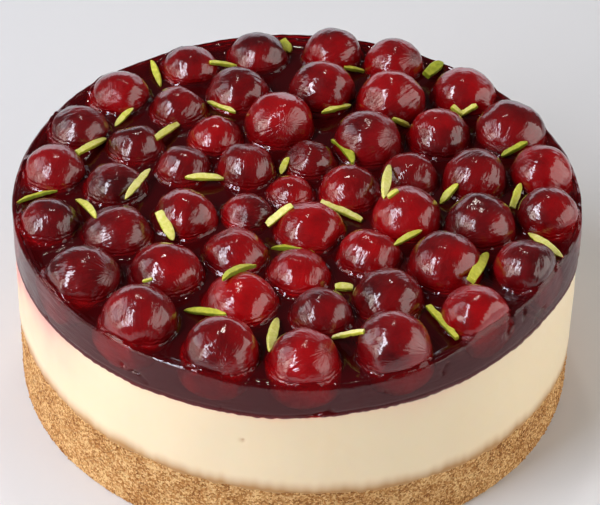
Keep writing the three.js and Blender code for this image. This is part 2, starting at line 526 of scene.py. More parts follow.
@dataclass(frozen=True)
class CherryFinish:
    """Skin of a poached cherry under a film of jelly: wet, deep red, wrinkled from stem to tip.

    Round its foot the film lies in small level folds.
    """

    ripeness: Ripeness
    cloud: float = 9.0
    swell: float = 3.5
    wrinkles: float = 6.5
    glow_shade_share: float = 0.6
    drift: float = 2.6
    drift_share: float = 9.0
    foot_rows: float = 17.0

    def make(self) -> Material:
        """Builds the material for this ripeness.

        Returns:
            The material.
        """
        lit, dark, glaze = self.ripeness.value
        material, tree, place = new_material(f"glazed_cherry_skin_{self.ripeness.name.lower()}")
        cloud = add(tree, "ShaderNodeTexNoise", {
            "Scale": 1 / (self.cloud * MM), "Detail": 4.0, "Roughness": 0.6, "Vector": place})
        # painted glow on one side of each cherry and painted shade on the other, mixed with random cloudy
        # tone
        sunless = add(tree, "ShaderNodeAttribute", {"attribute_name": "sunless"}).outputs["Fac"]
        blend = add(tree, "ShaderNodeMath", {
            "operation": "MULTIPLY_ADD", 0: sunless, 1: self.glow_shade_share, 2: cloud})
        spread = add(tree, "ShaderNodeMapRange", {"Value": blend, "From Min": 0.5, "From Max": 1.1})
        tone = add(tree, "ShaderNodeMix", {"data_type": "RGBA", 0: spread, 6: linear(lit), 7: linear(dark)})
        film = add(tree, "ShaderNodeTexNoise", {
            "Scale": 1 / (self.swell * MM), "Detail": 2.0, "Vector": place})
        bump = add(tree, "ShaderNodeBump", {"Strength": 0.8, "Distance": 0.3 * MM, "Height": film})
        meridian = add(tree, "ShaderNodeAttribute", {"attribute_name": "meridian"}).outputs["Vector"]
        wrinkles = add(tree, "ShaderNodeTexNoise", {
            "Scale": self.wrinkles, "Detail": 3.0, "Vector": meridian})
        bump = add(tree, "ShaderNodeBump", {
            "Strength": 0.9, "Distance": 0.3 * MM, "Height": wrinkles, "Normal": bump})
        foot = add(tree, "ShaderNodeAttribute", {"attribute_name": "foot"}).outputs["Fac"]
        drift = add(tree, "ShaderNodeTexNoise", {
            "Scale": 1 / (self.drift * MM), "Detail": 2.0, "Vector": place})
        rows = add(tree, "ShaderNodeMath", {"operation": "MULTIPLY", 0: foot, 1: self.foot_rows})
        phase = add(tree, "ShaderNodeMath", {
            "operation": "MULTIPLY_ADD", 0: drift, 1: self.drift_share, 2: rows})
        wave = add(tree, "ShaderNodeMath", {"operation": "SINE", 0: phase})
        pools = add(tree, "ShaderNodeMath", {"operation": "MULTIPLY", 0: wave, 1: foot})
        bump = add(tree, "ShaderNodeBump", {
            "Strength": 0.9, "Distance": 0.14 * MM, "Height": pools, "Normal": bump})
        surface = add(tree, "ShaderNodeBsdfPrincipled", {
            "Base Color": tone.outputs[2], "Normal": bump, "Coat Normal": bump, "Roughness": 0.4, "IOR": 1.42,
            "Specular IOR Level": 0.1, "Subsurface Weight": 0.15, "Subsurface Radius": (1.0, 0.12, 0.10),
            "Subsurface Scale": 4 * MM, "Coat Weight": 1.0, "Coat Roughness": glaze, "Coat IOR": 1.6})
        add(tree, "ShaderNodeOutputMaterial", {"Surface": surface})
        return material


@dataclass(frozen=True)
class PistachioFinish:
    """Shelled green pistachio cut in slivers: matt, bright yellow-green flesh with a duller skin, which also
    carries painted shade on one side and underneath.
    """

    name: str = "cut_pistachio"
    tones: tuple[str, str, str] = ("#fbf3a4", "#d4d548", "#7c8a14")
    grain: float = 1.4
    grain_share: float = 0.7
    rind_and_shade_share: float = 0.45
    paler: float = 0.35
    middle_tone: float = 0.4

    def make(self) -> Material:
        """Builds the material; each sliver says how green it is and where its skin and its painted shade are.

        Returns:
            The material.
        """
        material, tree, place = new_material(self.name)
        green, rind = (add(tree, "ShaderNodeAttribute", {"attribute_name": name}).outputs["Fac"]
                       for name in ("green", "rind"))
        grain = add(tree, "ShaderNodeTexNoise", {
            "Scale": 1 / (self.grain * MM), "Detail": 4.0, "Vector": place})
        # the skin and the painted shade on one side and underneath make the green deeper
        deeper = add(tree, "ShaderNodeMath", {
            "operation": "MULTIPLY_ADD", 0: rind, 1: self.rind_and_shade_share, 2: green})
        shifted = add(tree, "ShaderNodeMath", {
            "operation": "MULTIPLY_ADD", 0: grain, 1: self.grain_share, 2: deeper})
        ramp = add(tree, "ShaderNodeValToRGB", {0: add(
            tree, "ShaderNodeMath", {"operation": "SUBTRACT", 0: shifted, 1: self.paler})})
        set_tones(ramp, self.tones, self.middle_tone)
        bump = add(tree, "ShaderNodeBump", {"Strength": 0.35, "Distance": 0.15 * MM, "Height": grain})
        surface = add(tree, "ShaderNodeBsdfPrincipled", {
            "Base Color": ramp, "Normal": bump, "Roughness": 0.5, "Specular IOR Level": 0.4,
            "Subsurface Weight": 0.2, "Subsurface Radius": (0.8, 1.0, 0.3), "Subsurface Scale": 1 * MM})
        add(tree, "ShaderNodeOutputMaterial", {"Surface": surface})
        return material


@dataclass(frozen=True)
class FloorFinish:
    """A plain pale matt floor."""

    colour: str = "#e2e4e4"

    def make(self) -> Material:
        """Builds the material.

        Returns:
            The material.
        """
        material, tree, _ = new_material("pale_floor")
        surface = add(tree, "ShaderNodeBsdfPrincipled", {
            "Base Color": linear(self.colour), "Roughness": 0.6, "Specular IOR Level": 0.2})
        add(tree, "ShaderNodeOutputMaterial", {"Surface": surface})
        return material


# ---------------------------------------------------------------- camera, light and floor


@dataclass(frozen=True)
class Viewpoint:
    """The photograph's camera: where it stands, how it is turned and its frame in pixels."""

    back: float = 815.1
    height: float = 706.9
    pan: float = 0.09
    tilt: float = 38.97
    roll: float = 1.355
    focal: float = 2926.4
    frame_wide: float = 600.0
    frame_high: float = 505.0
    sensor: float = 36.0

    def axes(self) -> tuple[Vector, Vector, Vector]:
        """Finds how the camera is turned.

        Returns:
            Its right, up and forward directions.
        """
        pan, tilt, roll = (math.radians(a) for a in (self.pan, self.tilt, self.roll))
        forward = Vector((math.sin(pan) * math.cos(tilt), math.cos(pan) * math.cos(tilt), -math.sin(tilt)))
        right = forward.cross(Vector((0, 0, 1))).normalized()
        up = right.cross(forward)
        level = right * math.cos(roll) + up * math.sin(roll)
        return level, up * math.cos(roll) - right * math.sin(roll), forward

    def eye(self) -> Vector:
        """Where the camera stands."""
        return Vector((0, -self.back, self.height))

    def ray(self, pixel: tuple[float, float]) -> Vector:
        """Finds the direction in which a pixel of the photograph looks.

        Args:
            pixel: Its place from the frame's top left corner.

        Returns:
            The unit direction.
        """
        right, up, forward = self.axes()
        across, above = pixel[0] - self.frame_wide / 2, self.frame_high / 2 - pixel[1]
        return (forward + right * (across / self.focal) + up * (above / self.focal)).normalized()

    def place(self) -> None:
        """Adds the camera to the scene."""
        right, up, forward = self.axes()
        lens = bpy.data.cameras.new("camera")
        lens.sensor_width = self.sensor
        lens.sensor_fit = "HORIZONTAL"
        lens.lens = self.focal * self.sensor / self.frame_wide
        lens.clip_start = 50 * MM
        camera = bpy.data.objects.new("camera", lens)
        turn = Matrix((right, up, -forward)).transposed().to_4x4()
        camera.matrix_world = Matrix.Translation(self.eye() * MM) @ turn
        bpy.context.scene.collection.objects.link(camera)
        bpy.context.scene.camera = camera


@dataclass(frozen=True)
class Softbox:
    """A flat rectangular studio light that faces the cake; its size and its distance are in metres."""

    name: str
    azimuth: float
    elevation: float
    wide: float
    high: float
    radiance: float
    colour: str
    lean: float = 0.0
    away: float = 1.3

    def place(self) -> None:
        """Adds the light to the scene."""
        azimuth, elevation = math.radians(self.azimuth), math.radians(self.elevation)
        towards = Vector((math.cos(azimuth) * math.cos(elevation),
                          math.sin(azimuth) * math.cos(elevation), math.sin(elevation)))
        lamp = bpy.data.lights.new(self.name, "AREA")
        lamp.shape = "RECTANGLE"
        lamp.size = self.wide
        lamp.size_y = self.high
        lamp.energy = self.radiance * math.pi * self.wide * self.high
        lamp.color = linear(self.colour)[:3]
        light = bpy.data.objects.new(self.name, lamp)
        turn = towards.to_track_quat("Z", "Y").to_matrix().to_4x4()
        light.matrix_world = (Matrix.Translation(towards * self.away) @ turn
                              @ Matrix.Rotation(math.radians(self.lean), 4, "Z"))
        bpy.context.scene.collection.objects.link(light)


@dataclass(frozen=True)
class Studio:
    """The pale floor, the even light round it and the softboxes that the cherries mirror."""

    floor_size: float = 8000.0
    floor_gap: float = 0.05
    surround: str = "#e6e4ea"
    surround_strength: float = 0.07
    slats: int = 6
    slat_step: float = 6.0
    softboxes: tuple[Softbox, ...] = (
        Softbox("key_pane", 217.7, 48, 0.16, 1.15, 20.5, "#f0f2ff", lean=31),
        Softbox("middle_pane", 211.0, 27, 0.28, 0.95, 4.7, "#fff5ee", lean=22),
        Softbox("left_pane", 167.0, 38, 0.50, 0.66, 2.2, "#f2f3ff", lean=12),
        Softbox("right_fill", -8.0, 20, 1.75, 1.3, 2.2, "#fdf8f2"),
        Softbox("back_panel", 92.0, 12, 1.9, 0.5, 1.4, "#f4f4ff"),
        Softbox("ceiling_lamp", 92.0, 63, 0.08, 0.08, 55.0, "#fff4ea"),
    )
    slat: Softbox = Softbox("side_slat", 185.0, 3, 1.3, 0.035, 5.6, "#fff5ea")

    def build(self) -> None:
        """Adds the floor, the surround and the lights."""
        half = self.floor_size / 2
        corners = np.array([(-half, -half), (half, -half), (half, half), (-half, half)])
        make_piece("floor", raised(corners, -self.floor_gap), [(0, 1, 2, 3)], FloorFinish().make())
        world = bpy.data.worlds.new("studio")
        world.use_nodes = True
        background = world.node_tree.nodes["Background"]
        background.inputs["Color"].default_value = linear(self.surround)
        background.inputs["Strength"].default_value = self.surround_strength
        bpy.context.scene.world = world
        blind = [replace(self.slat, name=f"side_slat_{k + 1}",
                         elevation=self.slat.elevation + k * self.slat_step) for k in range(self.slats)]
        for softbox in (*self.softboxes, *blind):
            softbox.place()
        bpy.context.scene.view_settings.view_transform = "Standard"
        LOG.info("studio: %d softboxes and %d slats", len(self.softboxes), self.slats)


# ---------------------------------------------------------------- biscuit base


@dataclass
class BiscuitBase:
    """The pressed crumb base, with grains standing out of its side and loose crumbs on them."""

    top: Level
    radius: float = 99.3
    foot_round: float = 1.4
    foot_steps: int = 3
    around: int = 1180
    rings: int = 44
    floor_rings: tuple[float, ...] = (0.6, 0.9)
    top_rings: tuple[float, ...] = (0.97, 0.9, 0.6)
    grain_relief: float = 0.55
    grain_pace: float = 0.8
    grain_level: float = 0.5
    lump_relief: float = 0.7
    lump_pace: float = 0.16
    lump_level: float = 0.56
    flat_foot: float = 0.02
    crumb_density: float = 0.20
    crumb_seed: int = 11
    # across in millimetres; fewer and coarser than on the cake, where they go down to dust
    crumb_sizes: tuple[float, float] = (0.45, 1.15)
    crumb_shape: tuple[float, float, float] = (1.0, 0.8, 0.7)
    crumb_uneven: tuple[float, float] = (0.72, 1.2)
    crumb_uneven_seed: int = 5
    bare_foot: float = 0.7
    steepest: float = 0.8

    def build(self, finish: BiscuitFinish) -> None:
        """Builds the base and its crumbs.

        Args:
            finish: What both are dressed in.
        """
        material = finish.make()
        base = self.shell(material)
        run_tree(base, "crumb_relief", {"Relief": self.grain_relief * MM, "Lumps": self.lump_relief * MM,
                                        "Grain": finish.grain * MM}, self.relief)
        install(base, "biscuit_base")
        blank = self.crumb_blank(material)
        crumbs = bpy.data.objects.new("biscuit_crumbs", base.data.copy())
        bpy.context.scene.collection.objects.link(crumbs)
        small, large = (size / 2 * MM for size in self.crumb_sizes)
        run_tree(crumbs, "crumb_scatter", {
            "Crumb": blank, "Density": self.crumb_density / MM ** 2, "Smallest": small, "Largest": large,
            "Seed": self.crumb_seed, "Material": material}, self.scatter)
        bpy.data.objects.remove(blank)
        install(crumbs)

    def shell(self, material: Material) -> Piece:
        """Makes the smooth closed base that the relief is pressed into.

        Args:
            material: What it is dressed in.

        Returns:
            The base.
        """
        turn = circle(even_turn(self.around))
        height = self.top.at(self.radius * turn[:, 0])
        levels = [raised(turn * self.radius * part, 0.0) for part in self.floor_rings]
        for step in range(self.foot_steps + 1):
            swing = math.pi / 2 * step / self.foot_steps
            levels.append(raised(turn * (self.radius - self.foot_round * (1 - math.sin(swing))),
                                 self.foot_round * (1 - math.cos(swing))))
        for step in range(1, self.rings + 1):
            levels.append(raised(turn * self.radius,
                                 self.foot_round + (height - self.foot_round) * (step / self.rings)))
        levels += [self.top.ring(turn, self.radius * part) for part in self.top_rings]
        return make_piece("biscuit", *close_rings(levels, 0.0, self.top.middle), material)

    def relief(self, tree: Tree, given: Node) -> Node:
        """Pushes the side in and out by grains and by lumps, and leaves the underside flat.

        Args:
            tree: The geometry tree.
            given: Its input node.

        Returns:
            The last node.
        """
        place = add(tree, "GeometryNodeInputPosition")
        normal = add(tree, "GeometryNodeInputNormal")
        pace = add(tree, "ShaderNodeMath", {"operation": "DIVIDE", 0: 1.0, 1: given.outputs["Grain"]})
        scaled = add(tree, "ShaderNodeVectorMath", {"operation": "SCALE", 0: place, "Scale": pace})
        grains = add(tree, "ShaderNodeTexVoronoi", {"Scale": self.grain_pace, "Vector": scaled})
        grain = add(tree, "ShaderNodeMath", {
            "operation": "SUBTRACT", 0: self.grain_level, 1: grains.outputs["Distance"]})
        lumps = add(tree, "ShaderNodeTexNoise", {
            "Scale": self.lump_pace, "Detail": 3.0, "Vector": scaled})
        lump = add(tree, "ShaderNodeMath", {"operation": "SUBTRACT", 0: lumps, 1: self.lump_level})
        near = add(tree, "ShaderNodeMath", {"operation": "MULTIPLY", 0: grain, 1: given.outputs["Relief"]})
        both = add(tree, "ShaderNodeMath", {
            "operation": "MULTIPLY_ADD", 0: lump, 1: given.outputs["Lumps"], 2: near})
        offset = add(tree, "ShaderNodeVectorMath", {"operation": "SCALE", 0: normal, "Scale": both})
        height = add(tree, "ShaderNodeSeparateXYZ", {0: place}).outputs["Z"]
        lifted = add(tree, "FunctionNodeCompare", {
            "operation": "GREATER_THAN", 0: height, 1: self.flat_foot * MM})
        return add(tree, "GeometryNodeSetPosition", {
            "Geometry": given.outputs["Geometry"], "Selection": lifted, "Offset": offset})

    def crumb_blank(self, material: Material) -> Piece:
        """Makes the one uneven grain, 2 metres across, that the crumbs are copies of.

        Args:
            material: What it is dressed in.

        Returns:
            The grain, to be copied at the scale of each crumb's half width.
        """
        shape = bmesh.new()
        bmesh.ops.create_icosphere(shape, subdivisions=1, radius=1.0)
        draw = np.random.default_rng(self.crumb_uneven_seed)
        places = np.array([v.co[:] for v in shape.verts])
        places *= draw.uniform(*self.crumb_uneven, (len(places), 1))
        faces = [tuple(v.index for v in f.verts) for f in shape.faces]
        shape.free()
        return make_piece("crumb_blank", places * self.crumb_shape / MM, faces, material)

    def scatter(self, tree: Tree, given: Node) -> Node:
        """Puts turned and sized copies of a crumb on the upright faces of a mesh.

        Args:
            tree: The geometry tree.
            given: Its input node.

        Returns:
            The last node.
        """
        seed = given.outputs["Seed"]
        slope = add(tree, "ShaderNodeSeparateXYZ", {0: add(tree, "GeometryNodeInputNormal")}).outputs["Z"]
        height = add(tree, "ShaderNodeSeparateXYZ", {0: add(tree, "GeometryNodeInputPosition")}).outputs["Z"]
        steep = add(tree, "ShaderNodeMath", {"operation": "ABSOLUTE", 0: slope})
        upright = add(tree, "FunctionNodeCompare", {"operation": "LESS_THAN", 0: steep, 1: self.steepest})
        above = add(tree, "FunctionNodeCompare", {
            "operation": "GREATER_THAN", 0: height, 1: self.bare_foot * MM})
        where = add(tree, "FunctionNodeBooleanMath", {"operation": "AND", 0: upright, 1: above})
        points = add(tree, "GeometryNodeDistributePointsOnFaces", {
            "Mesh": given.outputs["Geometry"], "Selection": where,
            "Density": given.outputs["Density"], "Seed": seed})
        crumb = add(tree, "GeometryNodeObjectInfo", {"Object": given.outputs["Crumb"]})
        turn = add(tree, "FunctionNodeRandomValue", {
            "data_type": "FLOAT_VECTOR", 1: (FULL_TURN,) * 3, "Seed": seed})
        size = add(tree, "FunctionNodeRandomValue", {
            "data_type": "FLOAT", 2: given.outputs["Smallest"], 3: given.outputs["Largest"], "Seed": seed})
        placed = add(tree, "GeometryNodeInstanceOnPoints", {
            "Points": points, "Instance": crumb.outputs["Geometry"],
            "Rotation": add(tree, "FunctionNodeEulerToRotation", {0: turn}), "Scale": size.outputs[1]})
        whole = add(tree, "GeometryNodeRealizeInstances", {0: placed})
        return add(tree, "GeometryNodeSetMaterial", {
            "Geometry": whole, "Material": given.outputs["Material"]})


# ---------------------------------------------------------------- cream layer


@dataclass
class CreamLayer:
    """The set cream between the biscuit and the jelly, with its soft seams and one small pit."""

    bottom: Level
    top: Level
    side: Outline
    jelly_edge: Callable[[Array], Array]
    foot_radius: float = CAKE_RADIUS - 0.3
    around: int = 720
    rings: int = 72
    floor_rings: tuple[float, ...] = (0.5, 0.93)
    top_rings: tuple[float, ...] = (0.97, 0.9, 0.5)
    crowding: float = 0.8
    flare: float = 1.5
    overlap: float = 0.7
    torn_foot: tuple[Swell, ...] = (Swell(0.45, 2.2, 12), Swell(0.45, 7.0, 13))
    sway: tuple[Swell, ...] = (Swell(0.25, 14.0, 3), Swell(0.05, 3.0, 4))
    # each seam draws the side in: how deep, and how far up or down
    foot_notch: tuple[float, float] = (0.15, 0.5)
    head_notch: tuple[float, float] = (0.35, 0.35)
    # the pit's angle, height and size; the crumb, which is painted shade in the pit: how dark, and its share
    # of the pit
    pit: tuple[float, float, float] = (-99.6, 46.2, 1.0)
    pit_depth: float = 0.5
    crumb: tuple[float, float] = (0.8, 0.7)
    seam: tuple[Swell, ...] = (Swell(0.7, 9.0, 8), Swell(0.45, 2.0, 10))
    butter_reach: float = 5.5
    butter_fall: float = 1.5
    # how strongly and how far down juice tints the seam, and each bleed's angle, width, depth and strength
    pink: tuple[float, float] = (0.05, 0.6)
    bleeds: tuple[tuple[float, float, float, float], ...] = (
        (-151, 12, 10.0, 1.1), (-170, 9, 9.0, 1.3), (-64, 10, 5.0, 0.22))
    bleed_cloud: Swell = Swell(0.3, 6.0, 9)
    # how far below the jelly's edge the dark red juice stain and painted shade fade out
    juice_and_shade_edge: float = 0.3

    def build(self, finish: CreamFinish) -> None:
        """Builds the layer.

        Args:
            finish: What it is dressed in.
        """
        angle = even_turn(self.around)
        turn = circle(angle)
        foot = self.bottom.at(self.foot_radius * turn[:, 0]) - self.overlap
        foot += sum(tear.at(turn * CAKE_RADIUS) for tear in self.torn_foot)
        head = self.top.at(CAKE_RADIUS * turn[:, 0])
        levels = [self.bottom.ring(turn, CAKE_RADIUS * part) for part in self.floor_rings]
        for step in range(self.rings + 1):
            even = step / self.rings
            part = even - self.crowding * math.sin(FULL_TURN * even) / FULL_TURN
            height = foot + (head - foot) * part
            radius = self.foot_radius + (self.side.at(angle) - self.foot_radius) * part ** self.flare
            places = raised(turn * radius[:, None], height)
            radius = radius + sum(sway.at(places) for sway in self.sway)
            for (depth, reach), away in ((self.foot_notch, height - foot), (self.head_notch, head - height)):
                radius = radius - depth * np.exp(-away / reach)
            radius = radius - self.pit_depth * self.pitted(angle, height, 1.0)
            levels.append(raised(turn * radius[:, None], height))
        levels += [self.top.ring(turn, CAKE_RADIUS * part) for part in self.top_rings]
        places, faces = close_rings(levels, self.bottom.middle, self.top.middle)
        layer = make_piece("cream", places, faces, finish.make())
        self.stain(layer, places)
        install(layer, "cream_layer")

    def pitted(self, angle: Array, height: Array, share: float) -> Array:
        """Where the little pit in the front is.

        Args:
            angle: Angles in radians.
            height: The height at each angle.
            share: How wide the mark is, as a share of the pit.

        Returns:
            How much of the pit is at each place, from 0 to 1.
        """
        where, level, size = self.pit
        along = np.radians(degrees_from(angle, where)) * CAKE_RADIUS
        return np.exp(-(along ** 2 + (height - level) ** 2) / (share * size) ** 2)

    def stain(self, layer: Piece, places: Array) -> None:
        """Stores how much butter and cherry juice each point has taken up, and where shade is painted: in the
        little pit, and dark red on the cream under the jelly.

        Args:
            layer: The piece.
            places: Its points.
        """
        angle, height = np.arctan2(places[:, 1], places[:, 0]), places[:, 2]
        seam = self.bottom.at(places[:, 0]) + sum(sway.at(places[:, :2]) for sway in self.seam)
        soaked = np.clip(1 - (height - seam) / self.butter_reach, 0, 1) ** self.butter_fall
        dark, share = self.crumb
        # the butter band, and the crumb: painted shade in the little pit
        store(layer, "butter", np.clip(soaked + dark * self.pitted(angle, height, share), 0, 1))
        below = self.jelly_edge(angle) - height
        pink = self.pink[0] * np.exp(-np.maximum(below, 0) / self.pink[1])
        for where, wide, deep, strength in self.bleeds:
            away = degrees_from(angle, where)
            pink += strength * np.exp(-(away / wide) ** 2) * np.exp(-np.maximum(below, 0) / deep)
        store(layer, "bleed", np.clip(pink * (1 + self.bleed_cloud.at(places)), 0, 1))
        # dark red on the cream under the jelly: juice stain and painted shade
        store(layer, "juice", np.clip(0.5 - below / self.juice_and_shade_edge, 0, 1))


# ---------------------------------------------------------------- the jelly's side


@dataclass(frozen=True)
class Dent:
    """A torn or pressed mark in the jelly's side, long in one direction."""

    angle: float
    height: float
    length: float
    width: float
    lean: float
    depth: float
    # how far it bends and narrows, and how quickly along its length
    bend: tuple[float, float] = (0.5, 0.7)
    pinch: tuple[float, float] = (0.35, 1.3)
    ends: float = 4.0
    flanks: float = 2.5

    def hollow(self, angle: Array, height: Array) -> Array:
        """How deep the mark is.

        Args:
            angle: Angles in radians.
            height: The height at each angle.

        Returns:
            The depth at each place.
        """
        along = np.radians(degrees_from(angle, self.angle)) * CAKE_RADIUS
        above = height - self.height
        lean = math.radians(self.lean)
        length = along * math.cos(lean) + above * math.sin(lean)
        across = above * math.cos(lean) - along * math.sin(lean)
        across = across + self.bend[0] * np.sin(length * self.bend[1] + self.angle)
        width = self.width * (1 + self.pinch[0] * np.sin(length * self.pinch[1] + self.angle))
        edge = (length / self.length * 2) ** self.ends + np.abs(across / width) ** self.flanks
        return self.depth * np.exp(-edge)


@dataclass(frozen=True)
class Side:
    """The jelly's side as the mould left it, from its ragged lower edge to its soft rim."""

    top: Level
    bottom: Level
    rim: Outline
    foot: Outline
    rounding: Outline
    rim_height: Outline
    torn: Outline
    drop: float = 2.6
    bow: float = 1.6
    shrink: float = 2.5
    shoulder: float = 0.9
    rim_bulge: float = 0.3
    lower: float = 0.4
    rim_teeth: Swell = Swell(1.0, 3.0, 45)
    foot_sway: Swell = Swell(0.22, 8.0, 33)
    foot_teeth: Swell = Swell(0.20, 1.5, 34)
    groove: Ridge = Ridge(0.28, 1.9, 0.4)
    # the lower edge is drawn in: how deep, and how far up
    notch: tuple[float, float] = (0.5, 0.35)
    dents: tuple[Dent, ...] = (
        Dent(-41.2, 71.4, 11.0, 1.1, 53, 1.7), Dent(-37.0, 70.6, 4.6, 0.7, 80, 1.3),
        Dent(-31.9, 65.4, 7.0, 0.6, 22, 1.3), Dent(-8.5, 61.5, 5.0, 0.8, 25, 1.4),
        Dent(-59.5, 68.0, 4.6, 0.6, 48, 0.9), Dent(-124.6, 65.0, 3.6, 0.45, -24, 1.2),
        Dent(-121.6, 63.6, 4.6, 0.45, -16, 1.3), Dent(-119.4, 61.9, 2.8, 0.4, -30, 1.0),
        Dent(-84.8, 60.4, 8.0, 0.6, 3, 1.2), Dent(-103.6, 60.9, 0.8, 0.6, 0, 1.0),
        Dent(-72.3, 66.1, 0.8, 0.6, 0, 1.0), Dent(-147.7, 60.0, 1.2, 0.6, 10, 0.9),
        Dent(-170.0, 62.0, 0.8, 0.8, 0, 0.9),
    )

    def water(self, x: Array | float) -> Array | float:
        """The height at which the open jelly lies, away from the rim and from the cherries."""
        return self.top.at(x) - self.drop

    def rise(self, angle: Array) -> Array:
        """How far the rim stands above or below the jelly's top, with its torn edge."""
        teeth = self.rim_teeth.at(circle(angle) * CAKE_RADIUS)
        return self.rim_height.at(angle) + self.torn.at(angle) * teeth

    def crest(self, angle: Array, reach: Array | float = CAKE_RADIUS) -> Array:
        """The height of the rim, carried inwards along each direction to some reach."""
        return self.top.at(reach * np.cos(angle)) + self.rise(angle)

    def head(self, angle: Array) -> Array:
        """The height at which the side starts to round off."""
        return self.crest(angle) - self.rounding.at(angle)

    def base(self, angle: Array) -> Array:
        """The height of the gently swaying lower edge, a little below the cream's top."""
        around = circle(angle) * CAKE_RADIUS
        return self.bottom.at(around[:, 0]) - self.lower + self.foot_sway.at(around)

    def edge(self, angle: Array) -> Array:
        """The height of the lower edge with its fine teeth."""
        return self.base(angle) + self.foot_teeth.at(circle(angle) * CAKE_RADIUS)

    def room(self, angle: Array, height: Array) -> Array:
        """How far out a cherry may reach: to the side, less near the rim, and more again above it.

        Args:
            angle: Angles in radians.
            height: The height at each angle.

        Returns:
            The radius at each place.
        """
        near = np.clip((height - self.head(angle) + self.shrink) / self.shrink, 0, 1)
        above = np.maximum(height - self.crest(angle), 0)
        within = self.rim.at(angle) - self.shoulder * smooth(near) + above / 2
        return np.minimum(within, self.rim.at(angle) + self.rim_bulge)

    def radius(self, angle: Array, height: Array) -> Array:
        """How far out the side is.

        Args:
            angle: Angles in radians.
            height: The height at each angle.

        Returns:
            The radius at each place.
        """
        head, base, rounding = self.head(angle), self.base(angle), self.rounding.at(angle)
        part = np.clip((height - base) / (head - base), 0, 1)
        foot, rim = self.foot.at(angle), self.rim.at(angle)
        above = np.clip((height - head) / rounding, 0, 1)
        radius = foot + (rim - foot) * part ** self.bow - rounding * (1 - np.sqrt(1 - above ** 2))
        radius = radius - self.groove.at(height - base)
        radius = radius - self.notch[0] * np.exp(-np.maximum(height - self.edge(angle), 0) / self.notch[1])
        for dent in self.dents:
            radius = radius - dent.hollow(angle, height)
        return radius


# ---------------------------------------------------------------- cherries


@dataclass
class Cherry:
    """One cherry: an uneven, slightly heart-shaped ball, sized by its node."""

    number: int
    middle: Array
    across: float
    tall: float
    ripeness: Ripeness
    stem: Array
    dimple: float
    lumps: Swell = Swell(0.026, 5.0, 100)
    knobs: Swell = Swell(0.012, 2.1, 200)
    cloud: Swell = Swell(0.2, 6.0, 400)
    dimple_width: float = 0.34
    collar: Ridge = Ridge(0.25, 0.75, 0.35)
    crease: Ridge = Ridge(0.014, 0.0, 0.10)
    # where the swells are read: on a ball of this radius, moved on from cherry to cherry
    girth: float = 10.0
    apart: tuple[float, float] = (37.0, 11.0)
    askew: tuple[float, float, float] = (0.31, 0.52, 0.79)
    wrinkle_step: float = 0.3
    wrinkle_shift: float = 3.7
    # the side where a glow of light through the cherry is painted, how much it varies between cherries, and
    # its seed
    sun: tuple[float, float, float] = (0.5, -0.5, 0.1)
    glow_side_varies: float = 0.6
    glow_side_seed: int = 300
    deepest: float = 0.95

    def from_stem(self, towards: Array) -> Array:
        """How far directions are from the stem, in radians."""
        return np.arccos(np.clip(towards @ self.stem, -1, 1))

    def beside_stem(self) -> Array:
        """A direction square to the stem."""
        side = np.cross(self.stem, self.askew)
        return side / np.linalg.norm(side)

    def surface(self, towards: Array) -> Array:
        """Where the skin lies.

        Args:
            towards: Unit directions from the cherry's middle.

        Returns:
            Points in millimetres.
        """
        half = np.array([self.across / 2, self.across / 2, self.tall / 2])
        shape = 1 + self.lumps.at(towards * self.girth + self.number * self.apart[0], self.number)
        shape += self.knobs.at(towards * self.girth + self.number * self.apart[1], self.number)
        tip, side = self.from_stem(towards), self.beside_stem()
        shape -= self.dimple * np.exp(-(tip / self.dimple_width) ** 2)
        shape += self.dimple * self.collar.at(tip)
        shape -= self.crease.at(towards @ side) * (towards @ np.cross(side, self.stem) > 0)
        return self.middle + towards * half * shape[:, None]

    def meridian(self, towards: Array) -> Array:
        """Unrolls the skin, so that the wrinkles run from the stem to the tip.

        Args:
            towards: Unit directions from the cherry's middle.

        Returns:
            Where each direction lies round the stem, and how far it is from it.
        """
        side = self.beside_stem()
        round_stem = np.arctan2(towards @ np.cross(self.stem, side), towards @ side)
        along = self.wrinkle_step * self.from_stem(towards) + self.wrinkle_shift * self.number
        return raised(circle(round_stem), along)

    def sunless(self, towards: Array) -> Array:
        """How dark each side is painted: a painted glow of light passing through the cherry on one side,
        painted shade on the far side, and random cloudy tone over both.

        Args:
            towards: Unit directions from the cherry's middle.

        Returns:
            One value for each direction, about 0 for the palest and 1 for the darkest.
        """
        draw = np.random.default_rng(self.glow_side_seed + self.number)
        glowing = draw.normal(size=3) * self.glow_side_varies + self.sun
        darker = 0.5 - 0.5 * towards @ (glowing / np.linalg.norm(glowing))
        return darker + self.cloud.at(towards * self.girth, self.number)

    def waterline(self, level: float, angle: Array) -> Array:
        """How far the skin is from the cherry's axis where the jelly meets it.

        Args:
            level: The jelly's height.
            angle: Directions round the cherry, in radians.

        Returns:
            One distance for each direction.
        """
        rise = np.clip((level - self.middle[2]) / (self.tall / 2), -self.deepest, self.deepest)
        skin = self.surface(raised(circle(angle) * math.sqrt(1 - rise ** 2), rise)) - self.middle
        return np.hypot(skin[:, 0], skin[:, 1])


